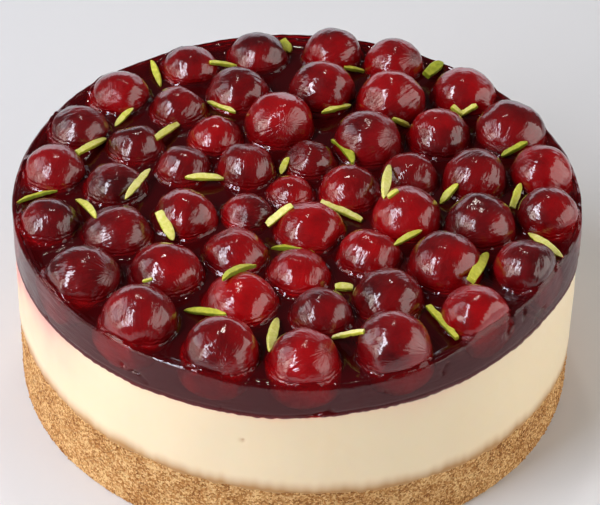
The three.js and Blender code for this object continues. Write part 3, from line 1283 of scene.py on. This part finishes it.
@dataclass
class Cherries:
    """All fifty cherries, in the order of their nodes: four uneven rings and one in the middle."""

    side: Side
    count: int = 50
    cuts: int = 15
    film: float = 0.8
    softness: float = 0.8
    outer: int = 19
    lean: float = 6.0
    lean_depth: float = 9.5
    foot_reach: float = 4.0
    # each cherry's ripeness by its first letter, ring by ring from the outside
    looks: str = "RSRRRDRRSRSRRSDSSSR" "DRRRRDSRDSBRSDD" "RRSDRBBRRD" "DDBBR" "B"
    stem_seed: int = 21
    stem_heights: tuple[float, float] = (-50.0, 10.0)
    usual_dimple: float = 0.10
    # cherries whose stem's dimple shows: number, azimuth and elevation of the stem, depth
    dimpled: tuple[tuple[int, float, float, float], ...] = (
        (34, 110, 50, 0.13), (44, 60, 55, 0.08), (45, 80, 62, 0.07), (46, 200, 50, 0.10), (42, 140, 55, 0.08),
        (49, 250, 40, 0.10), (40, 60, 50, 0.07), (9, 70, 60, 0.06), (41, 70, 65, 0.06), (20, 40, 40, 0.08),
    )
    fruit: list[Cherry] = field(default_factory=list)

    def read(self) -> None:
        """Reads the cherries' places and sizes from their nodes."""
        kinds = {kind.name[0]: kind for kind in Ripeness}
        shown = {row[0]: row[1:] for row in self.dimpled}
        draw = np.random.default_rng(self.stem_seed)
        for number in range(1, self.count + 1):
            low, high = (np.array(corner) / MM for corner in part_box(f"cherry_{number:02d}"))
            hidden = (draw.uniform(0, 360), draw.uniform(*self.stem_heights), self.usual_dimple)
            azimuth, elevation, dimple = shown.get(number, hidden)
            azimuth, elevation = math.radians(azimuth), math.radians(elevation)
            stem = np.array([math.cos(azimuth) * math.cos(elevation),
                             math.sin(azimuth) * math.cos(elevation), math.sin(elevation)])
            size = high - low
            self.fruit.append(Cherry(number, (low + high) / 2, (size[0] + size[1]) / 2, size[2],
                                     kinds[self.looks[number - 1]], stem, dimple))

    def build(self) -> list[Piece]:
        """Builds the cherries, each in place of its node.

        Returns:
            The pieces.
        """
        towards, faces = self.ball()
        dressed = {kind: CherryFinish(kind).make() for kind in Ripeness}
        pieces = []
        for cherry in self.fruit:
            places = self.pressed(cherry.surface(towards), cherry.number <= self.outer)
            piece = make_piece(f"glazed_cherry_{cherry.number:02d}", places, faces, dressed[cherry.ripeness])
            store(piece, "meridian", cherry.meridian(towards), "FLOAT_VECTOR")
            above = places[:, 2] - self.side.water(places[:, 0])
            store(piece, "foot", np.clip(1 - above / self.foot_reach, 0, 1))
            # painted glow and painted shade on each cherry's sides, with random cloudy tone
            store(piece, "sunless", cherry.sunless(towards))
            install(piece, f"cherry_{cherry.number:02d}")
            pieces.append(piece)
        return pieces

    def ball(self) -> tuple[Array, list]:
        """Makes the even grid of directions that every cherry's skin is stretched over.

        Returns:
            The directions and the faces between them.
        """
        shape = bmesh.new()
        bmesh.ops.create_cube(shape, size=2.0)
        bmesh.ops.subdivide_edges(shape, edges=shape.edges, cuts=self.cuts, use_grid_fill=True)
        corners = np.tan(np.array([v.co[:] for v in shape.verts]) * math.pi / 4)
        faces = [tuple(v.index for v in f.verts) for f in shape.faces]
        shape.free()
        return corners / np.linalg.norm(corners, axis=1, keepdims=True), faces

    def pressed(self, places: Array, leaning: bool) -> Array:
        """Flattens skin that would reach the jelly's side, and leaves a film of jelly outside it.

        Args:
            places: The skin's points.
            leaning: Whether the cherry's lower half leans on the side.

        Returns:
            The skin's new points.
        """
        angle = np.arctan2(places[:, 1], places[:, 0])
        reach = np.hypot(places[:, 0], places[:, 1])
        height = places[:, 2]
        below = np.clip((self.side.top.at(places[:, 0]) - height) / self.lean_depth, 0, 1)
        pushed = reach + self.lean * leaning * smooth(below)
        wall = np.where(height < self.side.head(angle), self.side.radius(angle, height), np.inf)
        limit = np.minimum(self.side.room(angle, height), wall) - self.film
        kept = -self.softness * np.logaddexp(-pushed / self.softness, -limit / self.softness)
        return places * raised(np.column_stack([kept / reach, kept / reach]), 1.0)


# ---------------------------------------------------------------- jelly


@dataclass
class Jelly:
    """The clear red jelly: it climbs round each cherry, has a thin lip at its rim and marks in its side."""

    side: Side
    cherries: Cherries
    around: int = 1000
    floor_rings: tuple[float, ...] = (0.5, 0.95)
    wall_rings: int = 32
    wall_crowding: float = 1.25
    round_rings: int = 5
    lip_rings: tuple[float, ...] = (0.35, 0.7, 1.05, 1.4, 1.8, 2.3, 2.8, 3.3, 3.9, 4.6)
    sink: float = 0.3
    wall_waves: Swell = Swell(0.08, 6.0, 31)
    wall_lines: Swell = Swell(0.02, 3.0, 32)
    wall_squeeze: tuple[float, float, float] = (1.0, 1.0, 3.0)
    drop_reach: float = 3.4
    climb_slope: float = 1.12
    climb_reach: float = 0.85
    climb_ease: float = 0.12
    climb_blend: float = 3.0
    climb_varies: Swell = Swell(0.12, 3.0, 46)
    # the faint rise beyond the climb: its height and how far it reaches
    spread: tuple[float, float] = (0.12, 2.2)
    uneven: Swell = Swell(0.28, 1.8, 47)
    uneven_apart: float = 40.0
    lip: Ridge = Ridge(0.25, 0.0, 0.7)
    second_lip: Ridge = Ridge(0.20, 2.1, 0.35)
    furrow: Ridge = Ridge(-0.25, 1.2, 0.5)
    ridges: Ridge = Ridge(0.14, 1.6, 1.4)
    ridge_step: float = 1.4
    lip_varies: Swell = Swell(0.35, 5.0, 41)
    lip_wanders: Swell = Swell(0.5, 9.0, 42)
    ridges_wander: Swell = Swell(0.6, 7.0, 44)
    fine: Swell = Swell(0.05, 2.5, 43)
    circle_steps: int = 84
    fillet_steps: tuple[float, ...] = (-1.0, -0.35, 0.0, 0.35, 0.6, 0.75, 0.9, 1.1, 1.5, 2.1)
    open_spacing: float = 2.0
    lattice_rows: float = 1.4
    closest: float = 0.15
    border_gap: float = 0.5
    merging: float = 1e-6

    def build(self, finish: JellyFinish) -> Piece:
        """Builds the jelly round the cherries.

        Args:
            finish: What it is dressed in.

        Returns:
            The piece.
        """
        angle = even_turn(self.around)
        turn = circle(angle)
        floor = replace(self.side.bottom, middle=self.side.bottom.middle - self.sink)
        levels = [floor.ring(turn, CAKE_RADIUS * part) for part in self.floor_rings]
        edge, head, rounding = self.side.edge(angle), self.side.head(angle), self.side.rounding.at(angle)
        for step in range(self.wall_rings + 1):
            part = (step / self.wall_rings) ** self.wall_crowding
            levels.append(self.wall_ring(angle, turn, edge + (head - edge) * part))
        satin = [1.0] * len(levels)
        for step in range(1, self.round_rings + 1):
            swing = math.pi / 2 * step / self.round_rings
            levels.append(self.wall_ring(angle, turn, head + rounding * math.sin(swing)))
            satin.append(1.0 - (step / self.round_rings) ** 2)
        lifted_from = (len(levels) - 1) * self.around
        shoulder = np.hypot(levels[-1][:, 0], levels[-1][:, 1])
        for inset in self.lip_rings:
            reach = shoulder - inset
            levels.append(raised(turn * reach[:, None], self.side.crest(angle, reach)))
            satin.append(0.0)
        flat, triangles = self.open_top(levels[-1][:, :2])
        inner = self.side.crest(np.arctan2(flat[:, 1], flat[:, 0]), np.hypot(flat[:, 0], flat[:, 1]))
        places = np.vstack([*levels, raised(flat, inner)])
        places[lifted_from:, 2] += self.lift(places[lifted_from:, :2])
        offset = (len(levels) - 1) * self.around
        faces = rings_to_faces(len(levels), self.around)
        faces += [tuple(int(k) + offset for k in triangle) for triangle in triangles]
        faces += fan(0, self.around, len(places), False)
        piece = make_piece("jelly", np.vstack([places, (0, 0, floor.middle)]), faces, finish.make())
        store(piece, "satin", np.concatenate([np.repeat(satin, self.around), np.zeros(len(flat)), [1.0]]))
        install(piece, "cherry_jelly")
        return piece

    def wall_ring(self, angle: Array, turn: Array, height: Array) -> Array:
        """One ring of the side.

        Args:
            angle: The ring's angles in radians.
            turn: Their directions.
            height: The height of each point.

        Returns:
            The ring's points.
        """
        radius = self.side.radius(angle, height)
        places = raised(turn * radius[:, None], height)
        radius = radius + self.wall_waves.at(places) + self.wall_lines.at(places * self.wall_squeeze)
        return raised(turn * radius[:, None], height)

    def shore(self, cherry: Cherry, steps: Array) -> Array:
        """How far from a cherry's axis the jelly starts to climb it, a little unevenly.

        Args:
            cherry: The cherry.
            steps: Directions round it, in radians.

        Returns:
            One distance for each direction.
        """
        line = cherry.waterline(float(self.side.water(cherry.middle[0])), steps)
        return line + self.uneven.at(circle(steps) * line[:, None] + self.uneven_apart * cherry.number)

    def gaps(self, flat: Array) -> Array:
        """How far places in plan are outside the cherries, where the jelly meets them.

        Args:
            flat: The places.

        Returns:
            A row for each place and a column for each cherry.
        """
        steps = np.linspace(0, FULL_TURN, self.circle_steps + 1)
        columns = []
        for cherry in self.cherries.fruit:
            offset = flat - cherry.middle[:2]
            heading = np.arctan2(offset[:, 1], offset[:, 0]) % FULL_TURN
            line = np.interp(heading, steps, self.shore(cherry, steps))
            columns.append(np.hypot(offset[:, 0], offset[:, 1]) - line)
        return np.column_stack(columns)

    def lift(self, flat: Array) -> Array:
        """How far the top stands above the rim's height: it sinks inwards and climbs at each cherry.

        Args:
            flat: Places in plan.

        Returns:
            The lift at each place.
        """
        away = np.maximum(self.gaps(flat), self.fillet_steps[1])
        eased = np.logaddexp(0, (self.climb_reach - away) / self.climb_ease)
        climbs = (self.climb_slope * self.climb_ease * eased) ** self.climb_blend
        pulled = climbs.sum(axis=1) ** (1 / self.climb_blend) * (1 + self.climb_varies.at(flat))
        spread = self.spread[0] * np.exp(-np.maximum(away, 0) / self.spread[1]).max(axis=1)
        angle = np.arctan2(flat[:, 1], flat[:, 0])
        shoulder = self.side.rim.at(angle) - self.side.rounding.at(angle)
        inset = np.maximum(shoulder - np.hypot(flat[:, 0], flat[:, 1]), 0)
        sunk = -(self.side.drop + self.side.rise(angle)) * (1 - np.exp(-(inset / self.drop_reach) ** 2))
        around = circle(angle) * CAKE_RADIUS
        lips = self.lip.at(inset) + self.second_lip.at(inset - self.lip_wanders.at(around))
        wave = np.sin(FULL_TURN * (inset + self.ridges_wander.at(around)) / self.ridge_step)
        rim = lips * (1 + self.lip_varies.at(around)) + self.furrow.at(inset) + self.ridges.at(inset) * wave
        return sunk + pulled + spread + rim + self.fine.at(flat)

    def open_top(self, border: Array) -> tuple[Array, list]:
        """Covers the top inside the rim with triangles that follow the cherries.

        Args:
            border: The rim's inner ring, counter-clockwise, which the triangles end on.

        Returns:
            The new points, without the border's, and triangles numbered with the border's first.
        """
        steps = even_turn(self.circle_steps)
        found = []
        for k, cherry in enumerate(self.cherries.fruit):
            line = self.shore(cherry, steps)
            for row, step in enumerate(self.fillet_steps):
                turned = steps + (row % 2) * math.pi / self.circle_steps
                ring = cherry.middle[:2] + circle(turned) * (line + step)[:, None]
                away = self.gaps(ring)
                others = np.delete(away, k, axis=1).min(axis=1)
                found.append(ring[others > away[:, k] + self.closest])
        found.append(self.lattice())
        flat = np.vstack(found)
        angle = np.arctan2(flat[:, 1], flat[:, 0])
        border_reach = np.interp(angle % FULL_TURN, np.linspace(0, FULL_TURN, self.around + 1),
                                 np.append(np.hypot(border[:, 0], border[:, 1]), np.hypot(*border[0])))
        flat = flat[np.hypot(flat[:, 0], flat[:, 1]) < border_reach - self.border_gap]
        everything = np.vstack([border, flat])
        loop = list(range(self.around))
        points, _, triangles, origins, _, _ = geometry.delaunay_2d_cdt(
            [Vector(p) for p in everything.tolist()], [], [loop], 1, self.merging)
        if len(points) != len(everything):
            raise ValueError("the jelly's top merged some of its points")
        order = [source[0] for source in origins]
        return flat, [tuple(order[k] for k in triangle) for triangle in triangles]

    def lattice(self) -> Array:
        """Spreads points evenly where the jelly is open and deep under the cherries.

        Returns:
            The points in plan.
        """
        side = self.open_spacing
        count = int(CAKE_RADIUS / side) + 1
        rows = int(count * self.lattice_rows)
        grid = np.array([((i + (j % 2) / 2) * side, j * side * math.sqrt(0.75))
                         for j in range(-rows, rows) for i in range(-count, count)])
        nearest = self.gaps(grid).min(axis=1)
        return grid[(nearest > self.fillet_steps[-1] + side / 2) | (nearest < self.fillet_steps[0] - side)]


# ---------------------------------------------------------------- pistachio slivers


class Cut(enum.Enum):
    """How a sliver is cut: how its two edges bulge, how blunt its ends are, its bend sideways and down."""

    LENS = (0.62, 0.38, 0.08, 0.16, 0.0, 0.10)
    STICK = (0.52, 0.48, 0.76, 0.58, 0.06, 0.05)
    MOON = (0.78, 0.22, 0.08, 0.18, 0.22, 0.16)
    WEDGE = (0.58, 0.42, 0.80, 0.10, 0.0, 0.07)


@dataclass(frozen=True)
class Sliver:
    """One sliver of pistachio: its two ends as pixels of the photograph, and its real width and thickness."""

    start: tuple[float, float]
    end: tuple[float, float]
    wide: float
    thick: float
    cut: Cut
    green: float
    roll: float


SLIVERS = (
    Sliver((151, 60), (160, 86), 2.8, 1.6, Cut.LENS, 0.45, 30),
    Sliver((210, 62), (236, 66), 2.2, 1.4, Cut.STICK, 0.35, 0),
    Sliver((282, 40), (290, 52), 3.6, 1.8, Cut.WEDGE, 0.55, 20),
    Sliver((207, 101), (235, 112), 2.6, 1.4, Cut.LENS, 0.25, 10),
    Sliver((115, 126), (133, 108), 2.6, 1.5, Cut.LENS, 0.30, 20),
    Sliver((156, 138), (178, 124), 2.9, 1.6, Cut.STICK, 0.25, 25),
    Sliver((77, 153), (105, 139), 2.9, 1.6, Cut.STICK, 0.25, 10),
    Sliver((16, 202), (57, 190), 2.2, 1.2, Cut.MOON, 0.55, -20),
    Sliver((126, 198), (150, 169), 3.0, 1.6, Cut.LENS, 0.15, 25),
    Sliver((185, 177), (224, 178), 3.0, 1.7, Cut.LENS, 0.20, 15),
    Sliver((75, 199), (95, 218), 2.8, 1.4, Cut.MOON, 0.30, 20),
    Sliver((281, 174), (289, 157), 2.8, 1.5, Cut.LENS, 0.35, 20),
    Sliver((158, 212), (173, 240), 4.2, 1.6, Cut.WEDGE, 0.25, 25),
    Sliver((267, 225), (292, 205), 3.2, 1.6, Cut.STICK, 0.20, 25),
    Sliver((344, 67), (364, 71), 2.0, 1.4, Cut.STICK, 0.45, 0),
    Sliver((427, 75), (443, 62), 4.4, 2.2, Cut.WEDGE, 0.80, 20),
    Sliver((322, 112), (351, 105), 2.6, 1.6, Cut.LENS, 0.30, 10),
    Sliver((393, 118), (410, 126), 2.8, 1.7, Cut.LENS, 0.30, 10),
    Sliver((452, 106), (463, 115), 2.8, 1.6, Cut.STICK, 0.25, 10),
    Sliver((462, 114), (477, 105), 2.6, 1.6, Cut.STICK, 0.25, 10),
    Sliver((331, 139), (352, 162), 4.0, 2.0, Cut.MOON, 0.75, 10),
    Sliver((501, 156), (527, 142), 3.2, 1.8, Cut.LENS, 0.65, 10),
    Sliver((385, 197), (390, 165), 3.6, 1.8, Cut.LENS, 0.20, 25),
    Sliver((388, 197), (398, 190), 2.2, 1.4, Cut.STICK, 0.30, 0),
    Sliver((440, 204), (458, 184), 3.0, 1.8, Cut.LENS, 0.40, 15),
    Sliver((513, 208), (521, 183), 3.0, 1.6, Cut.WEDGE, 0.35, 25),
    Sliver((321, 202), (362, 220), 2.9, 1.6, Cut.STICK, 0.20, 10),
    Sliver((528, 233), (562, 257), 3.2, 1.4, Cut.LENS, 0.20, 25),
    Sliver((394, 245), (422, 230), 2.6, 1.5, Cut.LENS, 0.35, 10),
    Sliver((472, 280), (488, 253), 4.2, 1.8, Cut.WEDGE, 0.45, 25),
    Sliver((271, 247), (314, 252), 2.6, 1.8, Cut.MOON, 0.60, -10),
    Sliver((335, 287), (353, 288), 3.4, 2.0, Cut.STICK, 0.25, 10),
    Sliver((428, 306), (457, 338), 2.8, 1.8, Cut.STICK, 0.45, 10),
    Sliver((333, 337), (364, 331), 2.2, 1.4, Cut.STICK, 0.05, 10),
    Sliver((184, 310), (226, 314), 3.0, 1.7, Cut.LENS, 0.50, 10),
    Sliver((223, 278), (256, 264), 3.4, 1.8, Cut.MOON, 0.55, -10),
    Sliver((270, 350), (278, 318), 3.8, 1.7, Cut.LENS, 0.25, 25),
    Sliver((143, 281), (152, 279), 1.4, 0.9, Cut.STICK, 0.30, 0),
)


@dataclass
class Pistachios:
    """The slivers of pistachio, each lying where the photograph shows it on the cherries and the jelly."""

    view: Viewpoint
    carriers: list[Piece]
    stations: int = 19
    # corners of the section, by half widths and half thicknesses; the ends' taper; how thin they get
    section: tuple[tuple[float, float], ...] = (
        (1, -0.55), (1, 0.6), (0.8, 1), (0, 1.03), (-0.8, 1),
        (-1, 0.6), (-1, -0.55), (-0.8, -1), (0, -1), (0.8, -1))
    taper: tuple[float, float] = (2.4, 0.75)
    thinning: float = 0.55
    droop: float = 2.4
    rind_and_shade_from: float = -0.9
    roughen: float = 0.8
    grain: float = 2.4
    crease: float = 30.0
    clearance: float = 0.35
    step: float = 0.1
    highest: float = 6.0
    above_all: float = 150.0
    samples: int = 9
    slim: float = 0.9

    def build(self, finish: PistachioFinish) -> None:
        """Builds the slivers as one piece.

        Args:
            finish: What they are dressed in.
        """
        material, ground = finish.make(), self.ground()
        blanks = {f"Blank {k + 1}": self.blank(cut, material) for k, cut in enumerate(Cut)}
        rests = [self.rest(sliver, ground) for sliver in SLIVERS]
        points = bpy.data.meshes.new("sliver_points")
        points.from_pydata([tuple(middle * MM) for middle, _, _ in rests], [], [])
        piece = bpy.data.objects.new("pistachio_slivers", points)
        bpy.context.scene.collection.objects.link(piece)
        store(piece, "turn", np.array([turn for _, turn, _ in rests]), "FLOAT_VECTOR")
        store(piece, "size", np.array([(rest[2], sliver.wide * self.slim, sliver.thick)
                                       for rest, sliver in zip(rests, SLIVERS)]) * MM, "FLOAT_VECTOR")
        store(piece, "green", np.array([sliver.green for sliver in SLIVERS]))
        store(piece, "cut", np.array([list(Cut).index(sliver.cut) for sliver in SLIVERS]))
        run_tree(piece, "sliver_placing", {
            **blanks, "Roughen": self.roughen * MM, "Grain": self.grain * MM, "Material": material}, self.lay)
        for blank in blanks.values():
            bpy.data.objects.remove(blank)
        piece.data.set_sharp_from_angle(angle=math.radians(self.crease))
        install(piece)

    def blank(self, cut: Cut, material: Material) -> Piece:
        """Makes a sliver of unit length, width and thickness.

        Args:
            cut: Its shape.
            material: What it is dressed in.

        Returns:
            The blank, to be copied.
        """
        left, right, first, last, sideways, down = cut.value
        rows = []
        for station in range(self.stations):
            along = -math.cos(math.pi * station / (self.stations - 1))
            blunt = first + (last - first) * (along + 1) / 2
            full = blunt + (1 - blunt) * max(1 - abs(along) ** self.taper[0], 0.0) ** self.taper[1]
            for wide, tall in self.section:
                bulge = wide * full * (left if wide > 0 else right)
                thick = tall * (1 + self.thinning * (full - 1)) / 2
                rows.append((along / 2, bulge + sideways * (1 - along * along),
                             thick - down * self.droop * along * along))
        corners = len(self.section)
        faces = [(a + k, a + (k + 1) % corners, b + (k + 1) % corners, b + k)
                 for a, b in ((s * corners, (s + 1) * corners) for s in range(self.stations - 1))
                 for k in range(corners)]
        end = (self.stations - 1) * corners
        faces += [tuple(range(corners - 1, -1, -1)), tuple(range(end, end + corners))]
        blank = make_piece(f"blank_{cut.name.lower()}", np.array(rows) / MM, faces, material)
        # one side and the underside are darker: the skin, together with painted shade
        rind = [float(min(corner) < self.rind_and_shade_from) for corner in self.section]
        store(blank, "rind", np.tile(rind, self.stations))
        return blank

    def ground(self) -> bvhtree.BVHTree:
        """Gathers everything that a sliver may lie on.

        Returns:
            One tree of its faces, in millimetres.
        """
        places, faces = [], []
        for carrier in self.carriers:
            start = len(places)
            places += [vertex.co / MM for vertex in carrier.data.vertices]
            faces += [tuple(start + k for k in face.vertices) for face in carrier.data.polygons]
        return bvhtree.BVHTree.FromPolygons(places, faces)

    def rest(self, sliver: Sliver, ground: bvhtree.BVHTree) -> tuple[Vector, tuple, float]:
        """Lays a sliver down.

        Its ends are dropped along their pixels' rays onto what lies there, then drawn back towards the
        camera until the sliver is clear of everything below it.

        Args:
            sliver: The sliver.
            ground: What it may lie on.

        Returns:
            Its middle, its turn as Euler angles and its length.
        """
        eye = self.view.eye()
        rays = [self.view.ray(pixel) for pixel in (sliver.start, sliver.end)]
        hits = [ground.ray_cast(eye, ray)[0] for ray in rays]
        for k, other in ((0, 1), (1, 0)):
            if hits[k] is None:
                hits[k] = eye + rays[k] * ((hits[other].z - eye.z) / rays[k].z)
        back = 0.0
        while back < self.highest:
            ends = [hit - ray * back for hit, ray in zip(hits, rays)]
            if self.clear(ends, sliver.thick * self.clearance, ground):
                break
            back += self.step
        along = (ends[1] - ends[0]).normalized()
        across = Vector((0, 0, 1)).cross(along).normalized()
        turn = Matrix((along, across, along.cross(across))).transposed()
        turn = turn @ Matrix.Rotation(math.radians(sliver.roll), 3, "X")
        return (ends[0] + ends[1]) / 2, tuple(turn.to_euler()), (ends[1] - ends[0]).length

    def clear(self, ends: list[Vector], gap: float, ground: bvhtree.BVHTree) -> bool:
        """Tells whether a line is clear of the ground.

        Args:
            ends: The line's two ends.
            gap: How far above the ground it has to be all along.
            ground: What it may lie on.

        Returns:
            Whether it is.
        """
        for k in range(self.samples):
            place = ends[0].lerp(ends[1], (k + 0.5) / self.samples)
            hit = ground.ray_cast(Vector((place.x, place.y, self.above_all)), Vector((0, 0, -1)))[0]
            if hit is not None and place.z - hit.z < gap:
                return False
        return True

    def lay(self, tree: Tree, given: Node) -> Node:
        """Copies the blanks onto the points, each turned and sized as its point says, and roughens them.

        Args:
            tree: The geometry tree.
            given: Its input node.

        Returns:
            The last node.
        """
        joined = add(tree, "GeometryNodeGeometryToInstance")
        for k in reversed(range(len(Cut))):
            blank = add(tree, "GeometryNodeObjectInfo", {"Object": given.outputs[f"Blank {k + 1}"]})
            tree.links.new(blank.outputs["Geometry"], joined.inputs[0])
        kinds = {"turn": "FLOAT_VECTOR", "size": "FLOAT_VECTOR", "cut": "FLOAT"}
        turn, size, cut = (add(tree, "GeometryNodeInputNamedAttribute", {"data_type": kind, "Name": name})
                           for name, kind in kinds.items())
        placed = add(tree, "GeometryNodeInstanceOnPoints", {
            "Points": given.outputs["Geometry"], "Instance": joined,
            "Pick Instance": True, "Instance Index": cut,
            "Rotation": add(tree, "FunctionNodeEulerToRotation", {0: turn}), "Scale": size})
        whole = add(tree, "GeometryNodeRealizeInstances", {0: placed})
        pace = add(tree, "ShaderNodeMath", {"operation": "DIVIDE", 0: 1.0, 1: given.outputs["Grain"]})
        noise = add(tree, "ShaderNodeTexNoise", {
            "Detail": 4.0, "Vector": add(tree, "GeometryNodeInputPosition"), "Scale": pace})
        centred = add(tree, "ShaderNodeVectorMath", {
            "operation": "SUBTRACT", 0: noise.outputs["Color"], 1: (0.5, 0.5, 0.5)})
        offset = add(tree, "ShaderNodeVectorMath", {
            "operation": "SCALE", 0: centred, "Scale": given.outputs["Roughen"]})
        moved = add(tree, "GeometryNodeSetPosition", {"Geometry": whole, "Offset": offset})
        return add(tree, "GeometryNodeSetMaterial", {
            "Geometry": moved, "Material": given.outputs["Material"]})


# ---------------------------------------------------------------- the whole cake


WALL_RIM = Outline(CAKE_RADIUS, (
    (-170, 0.4), (-125, 0.2), (-90, 0.4), (-68, -0.8), (-46, -3.6), (-24, -2.4), (-6, 0.3), (16, 0.5),
    (38, -0.9), (60, -1.2), (95, -0.4), (124, -0.7), (142, 0.8), (158, 0.2)))
WALL_FOOT = Outline(CAKE_RADIUS, (
    (-168, 0.3), (-136, 0.0), (-116, 0.5), (-94, 1.3), (-76, 0.0), (-59, -0.7), (-35, -1.4), (-13, 0.5),
    (45, -0.2), (120, 0.2)))
CREAM_SIDE = Outline(CAKE_RADIUS - 0.4, (
    (-168, 0.1), (-136, -0.1), (-116, 0.2), (-94, 0.7), (-76, 0.0), (-59, -0.6), (-35, -1.2), (-13, 0.3),
    (45, -0.2), (120, 0.1)))
RIM_ROUNDING = Outline(0.9, (
    (-170, 0.1), (-145, -0.2), (-120, -0.5), (-100, -0.3), (-84, 0.2), (-62, 0.1), (-30, 0.2), (60, 0.2),
    (120, 0.2)))
RIM_HEIGHT = Outline(0.0, (
    (-150, 0.0), (-133, -0.7), (-112, -0.8), (-98, -2.4), (-84, -2.6), (-70, -2.5), (-58, -1.0), (-45, -0.4),
    (-24, 0.1), (0, 0.0), (120, 0.0)))
RIM_TORN = Outline(0.10, (
    (-150, 0.0), (-100, 0.03), (-60, 0.03), (-48, 0.15), (-38, 0.3), (-28, 0.2), (-18, 0.1), (-8, 0.25),
    (4, 0.1), (60, 0.0)))


def main() -> None:
    """Builds the cake and the studio, and reports each piece."""
    logging.basicConfig(level=logging.INFO, format="%(name)s: %(message)s")
    view = Viewpoint()
    view.place()
    Studio().build()
    layers = ("biscuit_base", "cream_layer", "cherry_jelly")
    biscuit_top, cream_top, jelly_top = (Level.of(node) for node in layers)
    BiscuitBase(biscuit_top).build(BiscuitFinish())
    side = Side(jelly_top, cream_top, WALL_RIM, WALL_FOOT, RIM_ROUNDING, RIM_HEIGHT, RIM_TORN)
    CreamLayer(biscuit_top, cream_top, CREAM_SIDE, side.edge).build(CreamFinish())
    cherries = Cherries(side)
    cherries.read()
    carriers = cherries.build()
    carriers.append(Jelly(side, cherries).build(JellyFinish()))
    Pistachios(view, carriers).build(PistachioFinish())


if __name__ == "__main__":
    main()
